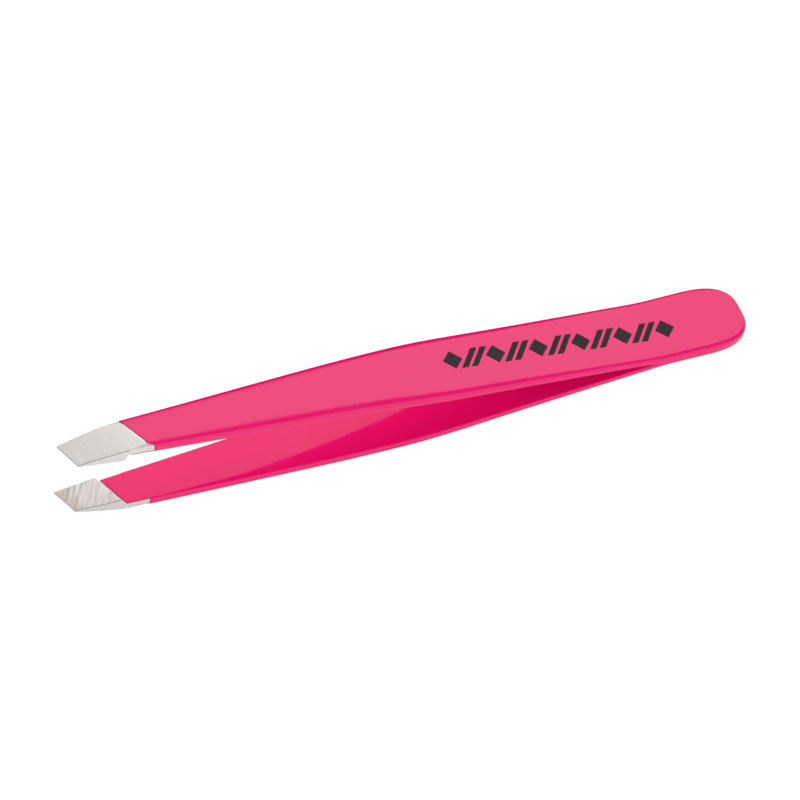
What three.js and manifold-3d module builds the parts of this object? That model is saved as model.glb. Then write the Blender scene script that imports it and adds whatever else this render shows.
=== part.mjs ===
// Slant tweezers, full size: two steel leaves spot-welded at the tail, each bent to a gentle belly,
// ground to a slanted gripping edge at the tip, and enamelled all over except at the ground tips.
//
// Every length is in millimetres. The profile is drawn about the plane where the two leaves meet:
// X runs from the tips (0) to the tail (LENGTH), Y across the width, Z away from the meeting plane.
// At the end the whole tool is tilted until the flat grip of the lower arm lies on z = 0.
import * as THREE from "three";
import { mergeVertices } from "three/addons/utils/BufferGeometryUtils.js";
import Module from "manifold-3d";

const wasm = await Module();
wasm.setup();

// Overall size.
const LENGTH = 95.0;
const COAT = 0.12;
const COAT_FIT = 0.03;
const LEAF_GAP = 0.02;

// Width of the bare leaf: half width in the body, taper towards the tip, slight flare at the tail.
const HALF_WIDTH = 4.78;
const WIDTH_TAPER = 0.0571;
const WIDTH_TAPER_FROM = 49.8;
const TAIL_FLARE = 0.0093;
const TAIL_FLARE_FROM = 64.0;
const TAIL_ROUND_LENGTH = 7.2;
const TAIL_ROUND_POWER = 2.75;
const TIP_NARROWING = 0.12;
const TIP_NARROWING_LENGTH = 9.5;

// Side profile: where the leaves part, the slope of the straight leg, and the flatter grip.
const PART_X = 82.2;
const PART_BLEND = 3.0;
const LEG_SLOPE = 0.102;
const GRIP_SLOPE = 0.0317;
const BEND_X = 42.0;
const BEND_LENGTH = 19.0;
const LEAF_THICK = 1.16;
const TAIL_THICK = 0.69;
const THIN_FROM = 45.0;
const THIN_TO = 82.0;

// Flexure: the point each arm turns about when squeezed, and the turn that closes the tips.
const FLEX_X = 70.0;
const FLEX_SPLIT = 0.3;
const CLOSE_ANGLE = THREE.MathUtils.degToRad(3.81);
const MEET_GAP = 0.02;

// Slanted tip: the gripping edge, the outer bevel and the raised gripping pad.
const SLANT = Math.tan(THREE.MathUtils.degToRad(24));
const SLANT_FADE_FROM = 10.0;
const SLANT_FADE_TO = 32.0;
const TIP_X = 0.7;
const EDGE_THICK = 0.29;
const BEVEL_LENGTH = 8.9;
const BEVEL_POWER = 1.6;
const PAD_LENGTH = 5.7;
const PAD_RAMP = 0.6;

// Where the enamel starts behind the slanted edge, on each face.
const COAT_START_OUTER = 8.8;
const COAT_START_SIDE = 9.5;
const COAT_START_INNER = 6.4;
const COAT_START_JOIN = 17.0;

// Edge radii of the leaf behind the bevel, at the belly and at the tail. The outer corners are
// wider than they are deep. The last number says how finely a corner is drawn.
const OUTER_ROUNDS = [0.42, 0.68, 0.25];
const INNER_ROUNDS = [0.16, 0.38, 0.16];
const OUTER_STRETCH = 2.0;
const ROUND_GROWS_FROM = 10.0;
const ROUND_GROWS_TO = 28.0;
const ROUND_SHRINKS_FROM = 48.0;
const ROUND_SHRINKS_TO = 82.0;
const BELLY_SWELL = 0.15;
const TIP_ROUND = 0.05;
const CORNER_STEPS = 4;

// Spot welds that hold the leaves together inside the tail.
const WELD_XS = [86.2, 90.6];
const WELD_RADIUS = 1.6;
const WELD_HEIGHT = 0.8;
const WELD_FIT = 0.03;

const COLOURS = {
  enamel: 0xe8437a,
  steel: 0xc9c7c3,
  weld: 0x8f8d8a,
};

// A ramp that starts at zero, turns over a blend centred on zero, and then rises one for one.
function ramp(distance, blend) {
  if (distance <= -blend / 2) return 0;
  if (distance >= blend / 2) return distance;
  return (distance + blend / 2) ** 2 / (2 * blend);
}

function clamp01(value) {
  return Math.min(1, Math.max(0, value));
}

function smooth(value) {
  const t = clamp01(value);
  return t * t * (3 - 2 * t);
}

// From 0 behind the bevel to 1 at the belly, and from 0 at the belly to 1 at the tail.
function grown(x) {
  return smooth((x - ROUND_GROWS_FROM) / (ROUND_GROWS_TO - ROUND_GROWS_FROM));
}

function shrunk(x) {
  return smooth((x - ROUND_SHRINKS_FROM) / (ROUND_SHRINKS_TO - ROUND_SHRINKS_FROM));
}

function edgeRound(x, rounds) {
  const forward = THREE.MathUtils.lerp(rounds[0], rounds[1], grown(x));
  return THREE.MathUtils.lerp(forward, rounds[2], shrunk(x));
}

// Half width of the bare leaf at length x, before the tail end is rounded off.
function halfWidth(x) {
  return HALF_WIDTH + BELLY_SWELL * grown(x) * (1 - shrunk(x))
    - WIDTH_TAPER * ramp(WIDTH_TAPER_FROM - x, 8)
    + TAIL_FLARE * ramp(x - TAIL_FLARE_FROM, 8)
    - TIP_NARROWING * smooth(1 - x / TIP_NARROWING_LENGTH);
}

// The rounded tail end as a fraction of the full width; inset is how far the end is pulled in.
function tailFactor(x, inset) {
  const end = LENGTH - inset;
  const along = clamp01((x - (end - TAIL_ROUND_LENGTH)) / TAIL_ROUND_LENGTH);
  return (1 - along ** TAIL_ROUND_POWER) ** (1 / TAIL_ROUND_POWER);
}

function thickness(x) {
  const along = clamp01((x - THIN_FROM) / (THIN_TO - THIN_FROM));
  return LEAF_THICK + (TAIL_THICK - LEAF_THICK) * along;
}

// Inner face of the leaf, measured from the meeting plane.
function leafInner(x) {
  return LEAF_GAP + LEG_SLOPE * ramp(PART_X - x, PART_BLEND)
    - (LEG_SLOPE - GRIP_SLOPE) * ramp(BEND_X - x, BEND_LENGTH);
}

const FLEX_Z = leafInner(FLEX_X) + thickness(FLEX_X) / 2;

// The gripping pad is ground so that it lies on the meeting plane once the arm has turned shut.
function padInner(x) {
  const reach = (FLEX_Z - MEET_GAP) / Math.cos(CLOSE_ANGLE);
  return FLEX_Z - reach + (FLEX_X - x) * Math.tan(CLOSE_ANGLE);
}

// The faces of the steel at length x. The tip features follow the slanted edge, so they go by
// station, the length at which the section crosses the middle of the leaf.
function steelInner(x, station) {
  const behind = (station - TIP_X - PAD_LENGTH) / PAD_RAMP;
  return THREE.MathUtils.lerp(padInner(x), leafInner(x), clamp01(behind));
}

function steelOuter(x, station) {
  const full = leafInner(x) + thickness(x);
  const left = clamp01(1 - (station - TIP_X) / BEVEL_LENGTH);
  return THREE.MathUtils.lerp(full, padInner(x) + EDGE_THICK, left ** BEVEL_POWER);
}

// Amount by which the station plane leans, so that sections near the tip follow the slanted edge.
function lean(x) {
  return SLANT * (1 - smooth((x - SLANT_FADE_FROM) / (SLANT_FADE_TO - SLANT_FADE_FROM)));
}

// Corner directions of one rounded section, as unit normals in Y and Z, anticlockwise from +X.
function cornerNormals() {
  const normals = [];
  for (let corner = 0; corner < 4; corner += 1) {
    for (let step = 0; step <= CORNER_STEPS; step += 1) {
      const angle = (corner + step / CORNER_STEPS) * (Math.PI / 2);
      normals.push({
        corner,
        ny: Math.cos(angle),
        nz: Math.sin(angle),
      });
    }
  }
  return normals;
}

const NORMALS = cornerNormals();

// One point of the leaf skin. Offset grows the skin evenly, for the enamel and its fit.
function skinPoint(station, normal, offset) {
  const rounding = smooth((station - TIP_X) / COAT_START_OUTER);
  const outer = THREE.MathUtils.lerp(TIP_ROUND, edgeRound(station, OUTER_ROUNDS), rounding);
  const inner = THREE.MathUtils.lerp(TIP_ROUND, edgeRound(station, INNER_ROUNDS), rounding);
  const bare = normal.corner < 2 ? outer : inner;
  const stretch = normal.corner < 2 ? THREE.MathUtils.lerp(1, OUTER_STRETCH, rounding) : 1;
  const radius = bare + offset;
  const side = normal.corner === 0 || normal.corner === 3 ? 1 : -1;
  const edgeX = station - lean(station) * side * halfWidth(station);
  const reach = halfWidth(edgeX) * tailFactor(station, COAT - offset) + offset;
  const roundY = Math.min(bare * stretch + offset, reach);
  const y = side * (reach - roundY) + normal.ny * roundY;
  const x = station - lean(station) * y;
  const level = normal.corner < 2
    ? steelOuter(x, station) + offset - radius
    : steelInner(x, station) - offset + radius;
  return new THREE.Vector3(x, y, level + normal.nz * radius);
}

// A ring of skin points; start gives each point of the ring its own station.
function ring(stationOf, offset) {
  return NORMALS.map((normal) => skinPoint(stationOf(normal), normal, offset));
}

// Enamel edge: straight across each face, further back round the sides.
function coatStart(normal) {
  const face = normal.nz > 0 ? COAT_START_OUTER : COAT_START_INNER;
  const towardsFace = smooth(Math.abs(normal.nz) * 1.4 - 0.4);
  return TIP_X + THREE.MathUtils.lerp(COAT_START_SIDE, face, towardsFace);
}

// Stations packed where the leaf curves and spread out where it runs straight.
function stations(from, to) {
  const marks = [
    TIP_X, 1.2, 1.8, 2.6, 3.5, 4.5, 5.5, TIP_X + PAD_LENGTH, TIP_X + PAD_LENGTH + PAD_RAMP, 7.9,
    8.8, TIP_X + BEVEL_LENGTH, 11.5, 13.2, 15, 17, 19, 21, 23, 25, 27, 29, 31, 32.5, 34.4, 36.3,
    38.2, 40.1, 42, 43.9, 45.8, 47.7, 49.6, 51.5, 53.8, 57, 60, 62, 64, 66, 68, 72, 75, 78, 80.6,
    81.3, 81.9, 82.5, 83.1, 83.8, 86, 87.8, 88.8, 89.8, 90.7, 91.5, 92.2, 92.8, 93.3, 93.75, 94.1,
    94.4, 94.63, 94.8,
  ];
  const inside = marks.filter((mark) => mark > from + 0.05 && mark < to - 0.05);
  return [from, ...inside, to];
}

// Close a stack of rings into a solid skin, with a flat cap at each end.
function closeStack(rings) {
  const positions = [];
  const faces = [];
  const count = rings[0].length;
  rings.forEach((points) => points.forEach((point) => positions.push(point.x, point.y, point.z)));
  for (let row = 0; row + 1 < rings.length; row += 1) {
    for (let column = 0; column < count; column += 1) {
      const next = (column + 1) % count;
      const a = row * count + column;
      const b = row * count + next;
      const c = (row + 1) * count + next;
      const d = (row + 1) * count + column;
      faces.push(a, b, c, a, c, d);
    }
  }
  const last = (rings.length - 1) * count;
  for (let column = 1; column + 1 < count; column += 1) {
    faces.push(0, column + 1, column);
    faces.push(last, last + column, last + column + 1);
  }
  return indexed(positions, faces);
}

// Close two matching stacks, an outer and an inner one, into an open-ended sleeve.
function closeSleeve(outer, inner) {
  const loop = [...outer, ...inner.slice().reverse()];
  const positions = [];
  const faces = [];
  const count = outer[0].length;
  loop.forEach((points) => points.forEach((point) => positions.push(point.x, point.y, point.z)));
  for (let row = 0; row < loop.length; row += 1) {
    const below = (row + 1) % loop.length;
    for (let column = 0; column < count; column += 1) {
      const next = (column + 1) % count;
      const a = row * count + column;
      const b = row * count + next;
      const c = below * count + next;
      const d = below * count + column;
      faces.push(a, b, c, a, c, d);
    }
  }
  return indexed(positions, faces);
}

function indexed(positions, faces) {
  const geometry = new THREE.BufferGeometry();
  geometry.setAttribute("position", new THREE.Float32BufferAttribute(positions, 3));
  geometry.setIndex(faces);
  return geometry;
}

function toSolid(geometry) {
  const bare = geometry.clone();
  bare.deleteAttribute("normal");
  bare.deleteAttribute("uv");
  const merged = mergeVertices(bare, 1e-4);
  return new wasm.Manifold(new wasm.Mesh({
    numProp: 3,
    vertProperties: new Float32Array(merged.attributes.position.array),
    triVerts: new Uint32Array(merged.index.array),
  }));
}

function fromSolid(solid) {
  const mesh = solid.getMesh();
  return indexed(Array.from(mesh.vertProperties), Array.from(mesh.triVerts));
}

// The lower half of the tool is the upper half mirrored through the meeting plane.
function mirrored(geometry) {
  const copy = geometry.clone();
  copy.scale(1, 1, -1);
  const faces = Array.from(copy.index.array);
  for (let start = 0; start < faces.length; start += 3) {
    const kept = faces[start + 1];
    faces[start + 1] = faces[start + 2];
    faces[start + 2] = kept;
  }
  copy.setIndex(faces);
  return copy;
}

function leafStack(from, to, offset) {
  return stations(from, to).map((x) => ring(() => x, offset));
}

function armBlade() {
  return closeStack(leafStack(TIP_X, FLEX_X - FLEX_SPLIT / 2, 0));
}

// Enamel sleeve over one arm: the first rings fan out from the enamel edge to a common station.
function armCoating() {
  const fan = [0, 0.12, 0.3, 0.5, 0.75];
  const rear = stations(COAT_START_JOIN, FLEX_X - FLEX_SPLIT / 2);
  const skin = (offset) => [
    ...fan.map((t) => ring((normal) => {
      const start = coatStart(normal);
      return THREE.MathUtils.lerp(start, COAT_START_JOIN, t);
    }, offset)),
    ...rear.map((x) => ring(() => x, offset)),
  ];
  return closeSleeve(skin(COAT), skin(COAT_FIT));
}

function weldDisc(x, grow) {
  const disc = new THREE.CylinderGeometry(WELD_RADIUS + grow, WELD_RADIUS + grow,
    WELD_HEIGHT + 2 * grow, 40);
  disc.rotateX(Math.PI / 2);
  disc.translate(x, 0, 0);
  return disc;
}

function tailLeaf() {
  const end = LENGTH - COAT;
  let solid = toSolid(closeStack(leafStack(FLEX_X + FLEX_SPLIT / 2, end - 0.03, 0)));
  WELD_XS.forEach((x) => {
    solid = solid.subtract(toSolid(weldDisc(x, WELD_FIT)));
  });
  return fromSolid(solid);
}

// Enamel over the welded tail: both legs and the web between them, hollow for the two leaves.
function tailCoating() {
  const from = FLEX_X + FLEX_SPLIT / 2;
  const outer = closeStack(leafStack(from, LENGTH - 0.03, COAT));
  const hollow = closeStack(leafStack(from - 1, LENGTH - COAT + COAT_FIT - 0.03, COAT_FIT));
  const shell = toSolid(outer).add(toSolid(mirrored(outer)));
  const core = toSolid(hollow).add(toSolid(mirrored(hollow)));
  return fromSolid(shell.subtract(core));
}

const tool = new THREE.Group();
tool.name = "slant_tweezers";

// Tilt that lays the lower grip flat, then a shift that puts it on z = 0, centred over the origin.
const posed = new THREE.Group();
posed.name = "tweezers_posed";
posed.rotation.y = Math.atan(GRIP_SLOPE);
tool.add(posed);

function add(name, geometry, colour, metalness, roughness) {
  const material = new THREE.MeshStandardMaterial({ color: colour, metalness, roughness });
  const mesh = new THREE.Mesh(geometry, material);
  mesh.name = name;
  posed.add(mesh);
  return mesh;
}

const blade = armBlade();
const coating = armCoating();
const leaf = tailLeaf();

add("upper_arm_blade", blade, COLOURS.steel, 0.9, 0.35);
add("upper_arm_coating", coating, COLOURS.enamel, 0.0, 0.25);
add("lower_arm_blade", mirrored(blade), COLOURS.steel, 0.9, 0.35);
add("lower_arm_coating", mirrored(coating), COLOURS.enamel, 0.0, 0.25);
add("upper_tail_leaf", leaf, COLOURS.steel, 0.9, 0.35);
add("lower_tail_leaf", mirrored(leaf), COLOURS.steel, 0.9, 0.35);
WELD_XS.forEach((x, index) => {
  add(`weld_nugget_${index + 1}`, weldDisc(x, 0), COLOURS.weld, 0.8, 0.5);
});
add("tail_coating", tailCoating(), COLOURS.enamel, 0.0, 0.25);

posed.updateMatrixWorld(true);
const box = new THREE.Box3();
posed.traverse((node) => {
  if (node.isMesh) box.expandByObject(node, true);
});
posed.position.set(-(box.min.x + box.max.x) / 2, -(box.min.y + box.max.y) / 2, -box.min.z);

export default tool;
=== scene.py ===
"""Slant tweezers: enamelled arms, ground steel tips and a printed pattern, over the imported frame.

Lengths in the profile section are millimetres in the tool's own plane (x from the tips to the
tail, z away from the plane where the two leaves meet). to_part() tilts and shifts them into the
part's frame, in metres.
"""

import math

import bmesh
import bpy
import numpy as np
from mathutils import Matrix, Vector


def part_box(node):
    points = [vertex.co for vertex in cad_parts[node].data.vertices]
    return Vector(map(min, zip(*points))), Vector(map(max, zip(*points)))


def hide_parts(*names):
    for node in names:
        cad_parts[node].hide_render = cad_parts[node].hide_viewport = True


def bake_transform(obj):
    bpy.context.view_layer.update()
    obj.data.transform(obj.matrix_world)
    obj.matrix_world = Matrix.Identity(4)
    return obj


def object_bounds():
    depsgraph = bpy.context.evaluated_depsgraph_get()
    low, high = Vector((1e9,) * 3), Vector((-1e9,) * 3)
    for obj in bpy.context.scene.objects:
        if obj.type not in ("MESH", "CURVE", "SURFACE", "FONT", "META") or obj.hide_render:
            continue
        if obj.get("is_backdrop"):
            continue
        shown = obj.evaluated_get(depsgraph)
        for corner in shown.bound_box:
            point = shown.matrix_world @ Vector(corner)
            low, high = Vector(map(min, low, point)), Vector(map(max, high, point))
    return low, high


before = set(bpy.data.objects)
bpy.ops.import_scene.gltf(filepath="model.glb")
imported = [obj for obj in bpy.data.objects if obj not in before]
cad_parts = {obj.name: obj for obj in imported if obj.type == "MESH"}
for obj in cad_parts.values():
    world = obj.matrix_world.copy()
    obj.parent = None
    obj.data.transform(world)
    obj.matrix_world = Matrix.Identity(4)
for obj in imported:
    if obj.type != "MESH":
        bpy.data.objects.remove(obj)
cad_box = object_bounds()

# ---------------------------------------------------------------- profile of the leaves, mm
LENGTH = 95.0
COAT = 0.12
LEAF_GAP = 0.02
HALF_WIDTH, BELLY_SWELL = 4.78, 0.15
WIDTH_TAPER, WIDTH_TAPER_FROM = 0.0571, 49.8
TAIL_FLARE, TAIL_FLARE_FROM = 0.0093, 64.0
TAIL_ROUND_LENGTH, TAIL_ROUND_POWER = 7.2, 2.75
TIP_NARROWING, TIP_NARROWING_LENGTH = 0.12, 9.5
PART_X, PART_BLEND = 82.2, 3.0
LEG_SLOPE, GRIP_SLOPE = 0.102, 0.0317
BEND_X, BEND_LENGTH = 42.0, 19.0
LEAF_THICK, TAIL_THICK = 1.16, 0.69
THIN_FROM, THIN_TO = 45.0, 82.0
FLEX_X = 70.0
CLOSE_ANGLE = math.radians(3.81)
MEET_GAP = 0.02
SLANT = math.tan(math.radians(24))
SLANT_FADE_FROM, SLANT_FADE_TO = 10.0, 32.0
TIP_X = 0.7
EDGE_THICK = 0.29
BEVEL_LENGTH, BEVEL_POWER = 8.9, 1.6
PAD_LENGTH, PAD_RAMP = 5.7, 0.6
COAT_START_OUTER, COAT_START_SIDE, COAT_START_INNER = 8.8, 9.5, 6.4
COAT_START_JOIN = 17.0
COAT_SKEW = 0.07
TIP_ROUND = 0.05
ROUND_GROWS_FROM, ROUND_GROWS_TO, ROUND_SHRINKS_FROM, ROUND_SHRINKS_TO = 10.0, 28.0, 48.0, 82.0
OUTER_ROUNDS = (0.42, 0.68, 0.36)
OUTER_STRETCH = 2.0
END_ROUND_SHARE = 0.6
INNER_ROUNDS = (0.16, 0.38, 0.16)
WELD_X = 86.2


def ramp(distance, blend):
    """Zero, then a blend centred on zero, then one for one."""
    middle = (distance + blend / 2) ** 2 / (2 * blend)
    return np.where(distance <= -blend / 2, 0.0, np.where(distance >= blend / 2, distance, middle))


def smooth(value):
    t = np.clip(value, 0.0, 1.0)
    return t * t * (3 - 2 * t)


def grown(x):
    """From 0 behind the bevel to 1 at the belly."""
    return smooth((x - ROUND_GROWS_FROM) / (ROUND_GROWS_TO - ROUND_GROWS_FROM))


def shrunk(x):
    """From 0 at the belly to 1 at the tail."""
    return smooth((x - ROUND_SHRINKS_FROM) / (ROUND_SHRINKS_TO - ROUND_SHRINKS_FROM))


def half_width(x):
    return (
        HALF_WIDTH
        + BELLY_SWELL * grown(x) * (1 - shrunk(x))
        - WIDTH_TAPER * ramp(WIDTH_TAPER_FROM - x, 8)
        + TAIL_FLARE * ramp(x - TAIL_FLARE_FROM, 8)
        - TIP_NARROWING * smooth(1 - x / TIP_NARROWING_LENGTH)
    )


def thickness(x):
    along = np.clip((x - THIN_FROM) / (THIN_TO - THIN_FROM), 0, 1)
    return LEAF_THICK + (TAIL_THICK - LEAF_THICK) * along


def leaf_inner(x):
    return (
        LEAF_GAP
        + LEG_SLOPE * ramp(PART_X - x, PART_BLEND)
        - (LEG_SLOPE - GRIP_SLOPE) * ramp(BEND_X - x, BEND_LENGTH)
    )


FLEX_Z = float(leaf_inner(FLEX_X) + thickness(FLEX_X) / 2)


def pad_inner(x):
    reach = (FLEX_Z - MEET_GAP) / math.cos(CLOSE_ANGLE)
    return FLEX_Z - reach + (FLEX_X - x) * math.tan(CLOSE_ANGLE)


def steel_inner(x, station):
    behind = smooth((station - TIP_X - PAD_LENGTH) / PAD_RAMP)
    return pad_inner(x) + (leaf_inner(x) - pad_inner(x)) * behind


def steel_outer(x, station):
    full = leaf_inner(x) + thickness(x)
    left = np.clip(1 - (station - TIP_X) / BEVEL_LENGTH, 0, 1) ** BEVEL_POWER
    return full + (pad_inner(x) + EDGE_THICK - full) * left


def edge_round(x, rounds):
    """Edge radius along the leaf: behind the bevel, at the belly, and at the tail."""
    near, belly, tail = rounds
    forward = near + (belly - near) * grown(x)
    return forward + (tail - forward) * shrunk(x)


def lean(station):
    fade = smooth((station - SLANT_FADE_FROM) / (SLANT_FADE_TO - SLANT_FADE_FROM))
    return SLANT * (1 - fade)


# ---------------------------------------------------------------- rings round the leaf
CORNER_STEPS = 8
FACE_STEPS = 12


def section():
    """Points round one section: corner number, normal (ny, nz) and place across the face, 0 to 1."""
    rows = []
    for corner in range(4):
        for step in range(CORNER_STEPS + 1):
            angle = (corner + step / CORNER_STEPS) * math.pi / 2
            rows.append((corner, math.cos(angle), math.sin(angle), 0.0))
        if corner in (0, 2):
            turn = math.pi / 2 * (corner + 1)
            for step in range(1, FACE_STEPS):
                rows.append((corner, math.cos(turn), math.sin(turn), step / FACE_STEPS))
    return np.array(rows).T


CORNER, NY, NZ, ACROSS = section()
SIDE = np.where((CORNER == 0) | (CORNER == 3), 1.0, -1.0)
ON_OUTER = CORNER < 2
ON_FACE = np.abs(NZ) > 0.999
ON_INNER_FACE = NZ < -0.999
BEVEL_SHARP_UNTIL, BEVEL_SOFT_FROM = 5.9, 9.3


def ring(station, offset, flush=0.0):
    """One ring of skin at the given stations (one number, or one for each point of the ring).

    offset grows the skin evenly. flush, from 0 to 1, presses the inner face onto the plane where
    the two halves of the tool meet and squares its corners, for the welded tail. The outer
    corners are wider than they are deep, and they also round off the tail end.
    """
    station = station * np.ones_like(NY)
    rounding = smooth((station - TIP_X - BEVEL_SHARP_UNTIL) / (BEVEL_SOFT_FROM - BEVEL_SHARP_UNTIL))
    outer = TIP_ROUND + (edge_round(station, OUTER_ROUNDS) - TIP_ROUND) * rounding
    inner = TIP_ROUND + (edge_round(station, INNER_ROUNDS) - TIP_ROUND) * rounding
    radius = np.where(ON_OUTER, outer + offset, (inner + offset) * (1 - flush))
    across_radius = np.where(ON_OUTER, outer * (1 + (OUTER_STRETCH - 1) * rounding) + offset, radius)
    edge_x = station - lean(station) * SIDE * half_width(station)
    end = LENGTH - COAT + offset
    along = np.clip((station - (end - TAIL_ROUND_LENGTH)) / TAIL_ROUND_LENGTH, 0, 1)
    round_off = np.maximum(1 - along**TAIL_ROUND_POWER, 0) ** (1 / TAIL_ROUND_POWER)
    reach = half_width(edge_x) * round_off + offset
    in_y = np.minimum(across_radius, reach)
    y = SIDE * (reach - in_y) * (1 - 2 * ACROSS) + NY * in_y
    x = station - lean(station) * y
    low = steel_inner(x, station) - offset
    if flush:
        low = np.maximum(low, 0.0) * (1 - flush)
    level = np.where(ON_OUTER, steel_outer(x, station) + offset - radius, low + radius)
    near_end = np.clip(1 - (end - station) / (END_ROUND_SHARE * across_radius), 0, 1)
    height = radius * np.where(ON_OUTER, np.sqrt(1 - near_end**2), 1)
    return np.stack([x, y, level + NZ * height], -1)


def close_rings(rings, kind=None):
    """Vertices, faces and material numbers of a stack of rings, closed by a flat cap at each end.

    kind(row, column) gives the material number of a face; the front cap is like the first face.
    """
    count = len(rings[0])
    faces, kinds = [], []
    for row in range(len(rings) - 1):
        for column in range(count):
            after = (column + 1) % count
            low, high = row * count, (row + 1) * count
            faces.append((low + column, low + after, high + after, high + column))
            kinds.append(kind(row, column) if kind else 0)
    last = (len(rings) - 1) * count
    faces.append(tuple(range(count - 1, -1, -1)))
    faces.append(tuple(range(last, last + count)))
    kinds += [kind(0, 0) if kind else 0, 0]
    return np.concatenate(rings), faces, kinds


# ---------------------------------------------------------------- into the part's frame
TILT = math.atan(GRIP_SLOPE)
SMOOTH_UP_TO = math.radians(35)
MERGE_WITHIN = 2e-7
weld_low, weld_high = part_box("weld_nugget_1")
WELD = (weld_low + weld_high) / 2 * 1000
SHIFT = np.array([WELD.x - WELD_X * math.cos(TILT), 0.0, WELD.z + WELD_X * math.sin(TILT)])


def to_part(points, sign=1.0):
    """Millimetre points in the tool's plane to metres in the part; sign -1 mirrors to the lower arm."""
    x, y, z = np.asarray(points, float).T
    z = z * sign
    turned = np.stack(
        [x * math.cos(TILT) + z * math.sin(TILT), y, z * math.cos(TILT) - x * math.sin(TILT)], -1
    )
    return (turned + SHIFT) / 1000


def make_piece(name, shape, materials, sign=1.0):
    """A smooth mesh object from close_rings()' output, with coinciding points merged."""
    points, faces, kinds = shape
    if sign < 0:
        faces = [tuple(reversed(face)) for face in faces]
    mesh = bpy.data.meshes.new(name)
    mesh.from_pydata([tuple(p) for p in to_part(points, sign)], [], faces)
    for material in materials:
        mesh.materials.append(material)
    mesh.polygons.foreach_set("material_index", kinds)
    work = bmesh.new()
    work.from_mesh(mesh)
    bmesh.ops.remove_doubles(work, verts=work.verts, dist=MERGE_WITHIN)
    work.to_mesh(mesh)
    work.free()
    mesh.polygons.foreach_set("use_smooth", [True] * len(mesh.polygons))
    mesh.set_sharp_from_angle(angle=SMOOTH_UP_TO)
    piece = bpy.data.objects.new(name, mesh)
    bpy.context.scene.collection.objects.link(piece)
    return piece


# ---------------------------------------------------------------- materials
class Finish:
    """A Principled material and short ways to add the nodes that vary it, in metres."""

    def __init__(self, name, colour, roughness, metallic=0.0):
        self.material = bpy.data.materials.new(name)
        self.material.use_nodes = True
        self.tree = self.material.node_tree
        self.shader = self.tree.nodes["Principled BSDF"]
        self.shader.inputs["Base Color"].default_value = (*colour, 1)
        self.shader.inputs["Roughness"].default_value = roughness
        self.shader.inputs["Metallic"].default_value = metallic
        self.place = self.tree.nodes.new("ShaderNodeTexCoord").outputs["Object"]

    def link(self, output, node, socket):
        self.tree.links.new(output, node.inputs[socket])

    def noise(self, size, detail=2.0, stretch=1.0, turn=0.0, wander=0.0):
        """Noise with features of that size; stretch makes them long in a direction turned from X."""
        mapping = self.tree.nodes.new("ShaderNodeMapping")
        mapping.vector_type = "TEXTURE"
        mapping.inputs["Rotation"].default_value = (0, 0, turn)
        mapping.inputs["Scale"].default_value = (size * stretch, size, size * max(1.0, stretch / 4))
        self.link(self.place, mapping, "Vector")
        node = self.tree.nodes.new("ShaderNodeTexNoise")
        node.inputs["Scale"].default_value = 1.0
        node.inputs["Detail"].default_value = detail
        node.inputs["Distortion"].default_value = wander
        self.link(mapping.outputs["Vector"], node, "Vector")
        return node.outputs["Fac"]

    def spread(self, value, low, high, start, end):
        node = self.tree.nodes.new("ShaderNodeMapRange")
        node.interpolation_type = "SMOOTHSTEP"
        node.inputs["From Min"].default_value = low
        node.inputs["From Max"].default_value = high
        node.inputs["To Min"].default_value = start
        node.inputs["To Max"].default_value = end
        self.link(value, node, "Value")
        return node.outputs["Result"]

    def along(self, direction, start):
        """Distance from a point along a direction, in metres."""
        node = self.tree.nodes.new("ShaderNodeVectorMath")
        node.operation = "DOT_PRODUCT"
        node.inputs[1].default_value = direction
        self.link(self.place, node, 0)
        less = self.tree.nodes.new("ShaderNodeMath")
        less.operation = "SUBTRACT"
        less.inputs[1].default_value = Vector(direction).dot(Vector(start))
        self.link(node.outputs["Value"], less, 0)
        return less.outputs[0]

    def mix(self, fac, first, second):
        """A colour between two, each a colour or another node's output."""
        node = self.tree.nodes.new("ShaderNodeMix")
        node.data_type = "RGBA"
        self.link(fac, node, "Factor")
        for socket, colour in (("A", first), ("B", second)):
            target = [i for i in node.inputs if i.name == socket and i.type == "RGBA"][0]
            if isinstance(colour, tuple):
                target.default_value = (*colour, 1)
            else:
                self.tree.links.new(colour, target)
        return [o for o in node.outputs if o.type == "RGBA"][0]

    def multiply(self, first, second):
        node = self.tree.nodes.new("ShaderNodeMath")
        node.operation = "MULTIPLY"
        self.link(first, node, 0)
        self.link(second, node, 1)
        return node.outputs[0]

    def colour(self, output):
        self.link(output, self.shader, "Base Color")

    def roughness(self, output):
        self.link(output, self.shader, "Roughness")

    def bump(self, height, depth, below=None):
        """Relief of that depth in metres; below is another bump's output to lay this one on."""
        node = self.tree.nodes.new("ShaderNodeBump")
        node.inputs["Distance"].default_value = depth
        self.link(height, node, "Height")
        if below is not None:
            self.link(below, node, "Normal")
        self.link(node.outputs["Normal"], self.shader, "Normal")
        return node.outputs["Normal"]


def enamel():
    """Hot pink stoving enamel: glossy, with the faint unevenness of a dipped coat."""
    finish = Finish("enamel", (0.705, 0.002, 0.129), 0.07)
    finish.shader.inputs["IOR"].default_value = 1.52
    cloud = finish.noise(0.009, detail=3.0)
    finish.colour(finish.mix(cloud, (0.69, 0.002, 0.126), (0.72, 0.003, 0.132)))
    finish.roughness(finish.spread(finish.noise(0.002, detail=4.0), 0.3, 0.7, 0.05, 0.1))
    finish.bump(finish.noise(0.0016, detail=1.0), 0.0000012)
    return finish.material


def enamel_edge_painted_shade():
    """The broken edge of the coat where the tip was ground bare, dull, and dark with painted shade along
    the lip.
    """
    finish = Finish("enamel_edge_painted_shade", (0.2, 0.004, 0.035), 0.45)
    finish.colour(finish.mix(finish.noise(0.0004), (0.12, 0.003, 0.03), (0.3, 0.006, 0.06)))
    return finish.material


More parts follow.
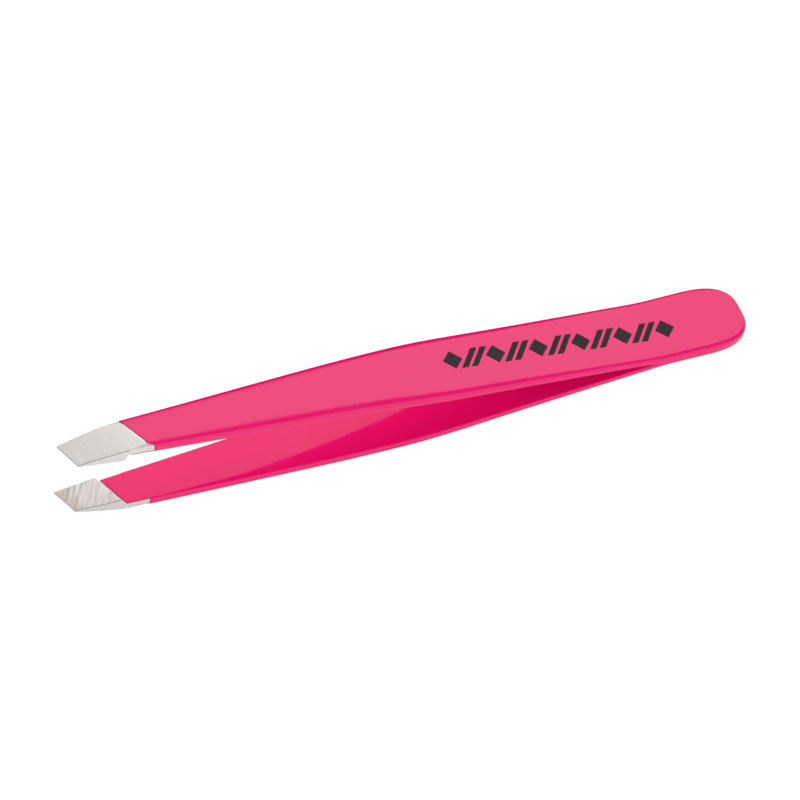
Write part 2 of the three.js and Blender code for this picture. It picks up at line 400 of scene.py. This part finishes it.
def painted_edge_highlight():
    """A pale hairline where the enamel was ground away: a painted highlight along the coat's edge."""
    finish = Finish("painted_edge_highlight", (0.86, 0.85, 0.85), 0.5)
    finish.colour(finish.mix(finish.noise(0.0004), (0.84, 0.8, 0.82), (0.9, 0.89, 0.89)))
    return finish.material


GRAIN_TURN = math.radians(-64)
SCRATCH_TURN = math.radians(-119)
STEEL_DARK, STEEL_LIGHT = (0.68, 0.66, 0.65), (0.76, 0.738, 0.73)


def ground_steel():
    """Belt-ground stainless steel, its grain across the tip."""
    finish = Finish("ground_steel", STEEL_LIGHT, 0.44, 0.6)
    broad = finish.noise(0.0006, detail=4.0, stretch=7, turn=GRAIN_TURN)
    fine = finish.noise(0.00009, detail=3.0, stretch=22, turn=GRAIN_TURN)
    grain = finish.spread(finish.multiply(broad, fine), 0.14, 0.36, 0.0, 1.0)
    finish.colour(finish.mix(grain, STEEL_DARK, STEEL_LIGHT))
    finish.roughness(finish.spread(broad, 0.3, 0.7, 0.4, 0.48))
    finish.bump(fine, 0.000003)
    return finish.material


def ground_pad(tip):
    """The gripping face: coarse diagonal grinding marks, with a warm cast at the very edge."""
    finish = Finish("ground_pad", STEEL_LIGHT, 0.38, 0.7)
    coarse = finish.noise(0.00045, detail=3.0, stretch=14, turn=SCRATCH_TURN, wander=0.3)
    fine = finish.noise(0.00013, detail=3.0, stretch=24, turn=SCRATCH_TURN)
    marks = finish.mix(finish.spread(coarse, 0.34, 0.56, 0.0, 1.0), (0.44, 0.42, 0.41), STEEL_LIGHT)
    marks = finish.mix(finish.spread(fine, 0.36, 0.6, 0.45, 0.0), marks, (0.4, 0.385, 0.375))
    behind_tip = finish.along((math.cos(math.atan(SLANT)), math.sin(math.atan(SLANT)), 0), tip)
    warm = finish.spread(behind_tip, 0.0002, 0.0016, 0.5, 0.0)
    finish.colour(finish.mix(warm, marks, (0.5, 0.39, 0.3)))
    finish.roughness(finish.spread(coarse, 0.3, 0.7, 0.26, 0.42))
    finish.bump(coarse, 0.000012, below=finish.bump(fine, 0.000008))
    return finish.material


def ground_corner():
    """The corner between a ground face and the side of the leaf, coloured darker than the faces."""
    finish = Finish("ground_corner", (0.2, 0.18, 0.175), 0.5, 0.6)
    finish.colour(finish.mix(finish.noise(0.0003, detail=3.0), (0.13, 0.11, 0.105), (0.27, 0.25, 0.245)))
    return finish.material


def printed_ink():
    """Pad-printed charcoal ink, thin and slightly uneven."""
    finish = Finish("printed_ink", (0.02, 0.013, 0.017), 0.45)
    finish.shader.inputs["Specular IOR Level"].default_value = 0.2
    patchy = finish.noise(0.0005, detail=4.0)
    finish.colour(finish.mix(patchy, (0.015, 0.01, 0.013), (0.027, 0.016, 0.022)))
    finish.bump(finish.noise(0.00012), 0.0000015)
    return finish.material


def weld_steel():
    """Fused steel, blued by the heat of the weld."""
    finish = Finish("weld_steel", (0.32, 0.31, 0.32), 0.5, 1.0)
    finish.colour(finish.mix(finish.noise(0.0007, detail=4.0), (0.22, 0.2, 0.27), (0.46, 0.41, 0.36)))
    finish.bump(finish.noise(0.0002, detail=4.0), 0.00001)
    return finish.material


TIP = to_part([[TIP_X, 0, 0]])[0]
ENAMEL, ENAMEL_EDGE_SHADE, EDGE_HIGHLIGHT, INK = enamel(), enamel_edge_painted_shade(), painted_edge_highlight(), printed_ink()
STEEL, PAD, GROUND_CORNER = ground_steel(), ground_pad(TIP), ground_corner()
WELD_STEEL = weld_steel()

# ---------------------------------------------------------------- the two leaves and their enamel
TAIL_TURNS = 26
TAIL_STRAIGHT_TO = LENGTH - TAIL_ROUND_LENGTH - 0.6
TIP_EDGE_RINGS = 4
LIP_RINGS = 6
# Lip rings coloured dark: painted shade along the step from the coat to the bare steel.
LIP_SHADE_RINGS = 3
LIP_SINK = 0.02
# Width, height and rings of the pale strip before the lip: a painted highlight.
HIGHLIGHT_LINE_WIDTH, HIGHLIGHT_LINE_PROUD = 0.2, 0.012
HIGHLIGHT_LINE_RINGS = 2


def stations(start, stop, step):
    return list(np.linspace(start, stop, max(2, int(round((stop - start) / step)) + 1)))


def tail_stations(stop):
    """Stations that crowd towards the rounded tail end."""
    turns = np.linspace(0, math.pi / 2, TAIL_TURNS)[1:]
    return [TAIL_STRAIGHT_TO + (stop - TAIL_STRAIGHT_TO) * math.sin(turn) for turn in turns]


def leaf_shape():
    """One steel leaf; material 1 is the gripping face, 2 the corners of the ground tip."""
    rings = []
    for turn in np.linspace(0, math.pi / 2, TIP_EDGE_RINGS):
        rings.append(ring(TIP_X + TIP_ROUND * (1 - math.cos(turn)), -TIP_ROUND * (1 - math.sin(turn))))
    pad_end = TIP_X + PAD_LENGTH
    marks = stations(TIP_X + 0.2, pad_end, 0.25)
    pad_rows = len(rings) + len(marks) - 1
    marks += stations(pad_end + 0.06, pad_end + PAD_RAMP, 0.08)
    corner_rows = len(rings) + len(marks) - 1
    marks += stations(pad_end + PAD_RAMP + 0.2, 13.0, 0.3)
    marks += stations(14.0, TAIL_STRAIGHT_TO, 1.0)
    marks += tail_stations(LENGTH - COAT - 0.02)
    rings += [ring(mark, 0.0) for mark in marks]
    count = len(NY)

    def kind(row, column):
        after = (column + 1) % count
        if ON_INNER_FACE[column] and ON_INNER_FACE[after]:
            return int(TIP_EDGE_RINGS - 1 <= row < pad_rows)
        in_corner = CORNER[column] == CORNER[after] and ACROSS[column] == ACROSS[after] == 0
        return 2 if in_corner and row < corner_rows else 0

    return close_rings(rings, kind)


BEHIND_PAD = TIP_X + PAD_LENGTH + PAD_RAMP + HIGHLIGHT_LINE_WIDTH
OUTER_FAR, OUTER_NEAR, INNER = (0.1, 0.3), (0.6, 0.35), (0.93, 0.06)


def coat_start():
    """Station where the enamel begins, for each point round the section.

    It goes from that of the face to that of the side within each corner, as the normal's share
    of z falls. The three constants above give the share where that ends, and over how much.
    """
    face = TIP_X + np.where(ON_OUTER, COAT_START_OUTER, COAT_START_INNER)
    y = SIDE * (1 - 2 * ACROSS) * half_width(face)
    face = np.where(ON_OUTER, face - COAT_SKEW * y, np.maximum(face - COAT_SKEW * y, BEHIND_PAD))
    kinds = [ON_OUTER & (SIDE > 0), ON_OUTER]
    ends, over = (np.select(kinds, pair[:2], pair[2]) for pair in zip(OUTER_FAR, OUTER_NEAR, INNER))
    side = TIP_X + COAT_START_SIDE
    return side + (face - side) * smooth((np.abs(NZ) - ends) / over)


def coat_shape():
    """One half of the enamel; material 1 is its ground front edge, dark with painted shade, 2 the
    painted highlight strip before it.
    """
    start = coat_start()
    rings = [
        ring(start - HIGHLIGHT_LINE_WIDTH * ON_FACE, -LIP_SINK),
        ring(start - (HIGHLIGHT_LINE_WIDTH - 0.02) * ON_FACE, HIGHLIGHT_LINE_PROUD),
    ]
    for turn in np.linspace(0, math.pi / 2, LIP_RINGS):
        lift = HIGHLIGHT_LINE_PROUD + (COAT - HIGHLIGHT_LINE_PROUD) * math.sin(turn)
        rings.append(ring(start + COAT * (1 - math.cos(turn)), lift))
    for share in np.linspace(0, 1, 22)[1:]:
        rings.append(ring(start + COAT + (COAT_START_JOIN - start - COAT) * share**1.5, COAT))
    for mark in stations(COAT_START_JOIN + 0.6, TAIL_STRAIGHT_TO, 0.6) + tail_stations(LENGTH - 0.02):
        flush = float(smooth((mark - PART_X + 3.2) / 2.6))
        rings.append(ring(mark, COAT, flush))

    def kind(row, column):
        # The pale strip on the faces is a painted highlight.
        if row < HIGHLIGHT_LINE_RINGS and ON_FACE[column] and ON_FACE[(column + 1) % len(NY)]:
            return 2
        # The lip rows take the dark edge colour, which is painted shade.
        return int(row < HIGHLIGHT_LINE_RINGS + LIP_SHADE_RINGS)

    return close_rings(rings, kind)


BEND_PAST_FLEX = 18.0
BEND_FROM = to_part([[PART_X, 0, 0]])[0]
BEND_TO = to_part([[FLEX_X - BEND_PAST_FLEX, 0, 0]])[0]
leaf, coat = leaf_shape(), coat_shape()
for arm, sign, coatings in (
    ("upper", 1.0, ("upper_arm_coating", "tail_coating")),
    ("lower", -1.0, ("lower_arm_coating",)),
):
    steel = make_piece(arm + "_leaf", leaf, (STEEL, PAD, GROUND_CORNER), sign)
    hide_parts(arm + "_arm_blade", arm + "_tail_leaf")
    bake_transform(steel)
    skin = make_piece(arm + "_enamel", coat, (ENAMEL, ENAMEL_EDGE_SHADE, EDGE_HIGHLIGHT), sign)
    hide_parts(*coatings)
    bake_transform(skin)

for nugget in ("weld_nugget_1", "weld_nugget_2"):
    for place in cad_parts[nugget].material_slots:
        place.material = WELD_STEEL

# ---------------------------------------------------------------- printed pattern
PRINT_FROM, PRINT_TO = (51.9, 0.72), (85.2, -0.36)
PRINT_CELLS = 11
PRINT_HEIGHT = 3.0
DIAMOND_WIDTH = 2.75
BAR_WIDTH, BAR_GAP, BAR_SLANT = 0.92, 0.45, 1.1
INK_PROUD, INK_SUNK = 0.008, 0.02
INK_GRID = 8


def ink_plate(corners):
    """A thin plate that follows the upper face, from four corners (x, y)."""
    corners = np.array(corners, float)
    share = np.linspace(0, 1, INK_GRID + 1)
    u, v = (side.ravel() for side in np.meshgrid(share, share, indexing="ij"))
    weights = np.stack([(1 - u) * (1 - v), u * (1 - v), u * v, (1 - u) * v], -1)
    x, y = (weights @ corners).T
    face = leaf_inner(x) + thickness(x) + COAT
    top = np.stack([x, y, face + INK_PROUD], -1)
    bottom = np.stack([x, y, face - INK_SUNK], -1)
    side = INK_GRID + 1
    count = side * side
    faces = []
    for i in range(INK_GRID):
        for j in range(INK_GRID):
            first = i * side + j
            quad = (first, first + side, first + side + 1, first + 1)
            faces.append(quad)
            faces.append(tuple(count + k for k in reversed(quad)))
    rim = [i * side for i in range(side)]
    rim += [INK_GRID * side + j for j in range(1, side)]
    rim += [i * side + INK_GRID for i in range(INK_GRID - 1, -1, -1)]
    rim += list(range(INK_GRID - 1, 0, -1))
    for a, b in zip(rim, rim[1:] + rim[:1]):
        faces.append((a, count + a, count + b, b))
    return np.concatenate([top, bottom]), faces


def pattern_corners():
    """Corners of each plate: diamonds, with a pair of slanted bars between each two."""
    first, last = np.array(PRINT_FROM), np.array(PRINT_TO)
    forward = (last - first) / np.linalg.norm(last - first)
    upward = np.array([-forward[1], forward[0]])
    pitch = np.linalg.norm(last - first) / PRINT_CELLS
    half = PRINT_HEIGHT / 2
    for cell in range(PRINT_CELLS):
        middle = first + forward * pitch * (cell + 0.5)
        if cell % 2 == 0:
            shapes = [[(-DIAMOND_WIDTH / 2, 0), (0, -half), (DIAMOND_WIDTH / 2, 0), (0, half)]]
        else:
            shapes = []
            for bar in (-1, 1):
                left = bar * (BAR_WIDTH + BAR_GAP) / 2 - BAR_WIDTH / 2
                low, high = left - BAR_SLANT, left + BAR_SLANT
                shapes.append(
                    [(low, -half), (low + BAR_WIDTH, -half), (high + BAR_WIDTH, half), (high, half)]
                )
        for shape in shapes:
            yield [middle + forward * across + upward * up for across, up in shape]


ink_points, ink_faces = [], []
for corners in pattern_corners():
    points, faces = ink_plate(corners)
    base = sum(len(p) for p in ink_points)
    ink_points.append(points)
    ink_faces += [tuple(base + k for k in face) for face in faces]
ink_shape = (np.concatenate(ink_points), ink_faces, [0] * len(ink_faces))
pattern = make_piece("printed_pattern", ink_shape, (INK,))
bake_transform(pattern)

# ---------------------------------------------------------------- camera
AZIMUTH, ELEVATION, ROLL = math.radians(26.52), math.radians(52.29), math.radians(6.48)
DISTANCE, LENS = 0.5521, 192.04
LEVEL = math.cos(ELEVATION)
towards = Vector((-math.sin(AZIMUTH) * LEVEL, -math.cos(AZIMUTH) * LEVEL, math.sin(ELEVATION)))
level_right = Vector((math.cos(AZIMUTH), -math.sin(AZIMUTH), 0))
level_up = towards.cross(level_right)
right = math.cos(ROLL) * level_right + math.sin(ROLL) * level_up
up = math.cos(ROLL) * level_up - math.sin(ROLL) * level_right
aim = Vector((0, 0, 0.006)) - 0.00109 * right - 0.00121 * up
camera_data = bpy.data.cameras.new("camera")
camera_data.lens = LENS
camera_data.sensor_width = 36
camera_data.clip_start = 0.01
camera = bpy.data.objects.new("camera", camera_data)
bpy.context.scene.collection.objects.link(camera)
camera.matrix_world = Matrix(
    (
        (right.x, up.x, towards.x, aim.x + DISTANCE * towards.x),
        (right.y, up.y, towards.y, aim.y + DISTANCE * towards.y),
        (right.z, up.z, towards.z, aim.z + DISTANCE * towards.z),
        (0, 0, 0, 1),
    )
)
bpy.context.scene.camera = camera

# ---------------------------------------------------------------- floor and light
FLOOR_GLOW, FLOOR_SHADE = 0.9, 0.2
BOUNCE, BOUNCE_GLOW = 0.72, 0.1
DIM_LIGHT, HORIZON_LIGHT, FRONT_LIGHT = 0.2, 1.0, 0.95
BACK_LIGHT, KEY_LIGHT, SIDE_LIGHT = 1.0, 1.52, 1.0
BACK_FROM = Vector((0.1, 0.62, 0.78)).normalized()
KEY_FROM = Vector((0.55, 0.5, 0.67)).normalized()
SIDE_FROM = Vector((-0.8, 0.1, 0.6)).normalized()


def plane(name, corners, colour, glow=0.0):
    """A flat panel of the studio, plain matt, that isn't part of the object."""
    mesh = bpy.data.meshes.new(name)
    mesh.from_pydata(corners, [], [(0, 1, 2, 3)])
    panel = bpy.data.objects.new(name, mesh)
    bpy.context.scene.collection.objects.link(panel)
    finish = Finish(name, (colour,) * 3, 1.0)
    finish.shader.inputs["Specular IOR Level"].default_value = 0.0
    finish.shader.inputs["Emission Color"].default_value = (1, 1, 1, 1)
    finish.shader.inputs["Emission Strength"].default_value = glow
    mesh.materials.append(finish.material)
    panel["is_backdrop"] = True
    return panel


def seen_by(thing, camera=False, diffuse=False, glossy=False):
    thing.visible_camera = camera
    thing.visible_diffuse = diffuse
    thing.visible_glossy = glossy
    thing.visible_transmission = False
    thing.visible_volume_scatter = False
    thing.visible_shadow = diffuse


def rectangle(left, right, front, back, height):
    return [(left, front, height), (right, front, height), (right, back, height), (left, back, height)]


seen_by(plane("floor", rectangle(-3, 3, -3, 3, -0.0002), FLOOR_SHADE, FLOOR_GLOW), camera=True)
bounce_floor = plane("bounce_floor", rectangle(-3, 3, -3, 3, -0.0003), BOUNCE, BOUNCE_GLOW)
seen_by(bounce_floor, diffuse=True, glossy=True)
seen_by(plane("lying_card", rectangle(-0.6, 0.6, 0.014, 0.5, -0.0001), 0.0), glossy=True)
wall = [(-0.6, 0.5, 0), (0.6, 0.5, 0), (0.6, 0.5, 0.16), (-0.6, 0.5, 0.16)]
seen_by(plane("standing_card", wall, 0.0), glossy=True)


def studio_world():
    """What shines in the object: a pale horizon, dim above it, and a few soft bright patches."""
    world = bpy.data.worlds.new("studio")
    world.use_nodes = True
    tree = world.node_tree
    nodes, links = tree.nodes, tree.links

    def step(value, low, high, start, end):
        node = nodes.new("ShaderNodeMapRange")
        node.interpolation_type = "SMOOTHSTEP"
        node.inputs["From Min"].default_value = low
        node.inputs["From Max"].default_value = high
        node.inputs["To Min"].default_value = start
        node.inputs["To Max"].default_value = end
        links.new(value, node.inputs["Value"])
        return node.outputs["Result"]

    def combine(operation, first, second):
        node = nodes.new("ShaderNodeMath")
        node.operation = operation
        links.new(first, node.inputs[0])
        links.new(second, node.inputs[1])
        return node.outputs[0]

    def facing(direction):
        node = nodes.new("ShaderNodeVectorMath")
        node.operation = "DOT_PRODUCT"
        links.new(sky, node.inputs[0])
        node.inputs[1].default_value = direction
        return node.outputs["Value"]

    sky = nodes.new("ShaderNodeTexCoord").outputs["Generated"]
    up, forward = facing((0, 0, 1)), facing((0, -1, 0))
    total = step(up, 0.08, 0.3, HORIZON_LIGHT, DIM_LIGHT)
    below_top = step(up, 0.8, 0.96, FRONT_LIGHT, 0.0)
    front = combine("MULTIPLY", below_top, step(forward, 0.14, 0.5, 0.0, 1.0))
    for light in (
        front,
        step(facing(BACK_FROM), 0.8, 0.92, 0.0, BACK_LIGHT),
        step(facing(KEY_FROM), 0.9, 0.97, 0.0, KEY_LIGHT),
        step(facing(SIDE_FROM), 0.86, 0.95, 0.0, SIDE_LIGHT),
    ):
        total = combine("MAXIMUM", total, light)
    links.new(total, nodes["Background"].inputs["Strength"])
    nodes["Background"].inputs["Color"].default_value = (1.0, 0.995, 0.985, 1)
    return world


def softbox(name, place, size, power):
    """A square soft light that brightens the object without showing in its gloss."""
    data = bpy.data.lights.new(name, "AREA")
    data.size = size
    data.energy = power
    lamp = bpy.data.objects.new(name, data)
    bpy.context.scene.collection.objects.link(lamp)
    lamp.location = place
    lamp.rotation_euler = (-Vector(place)).to_track_quat("-Z", "Y").to_euler()
    lamp.visible_camera = False
    lamp.visible_glossy = False


softbox("front_fill", (-0.15, -0.85, 0.5), 0.7, 4.5)
softbox("back_fill", (0.15, 0.85, 0.52), 0.7, 5.9)

bpy.context.scene.world = studio_world()
bpy.context.scene.view_settings.view_transform = "Standard"

boxes = {"cad": cad_box, "visual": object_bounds()}
{name: [list(corner) for corner in box] for name, box in boxes.items()}
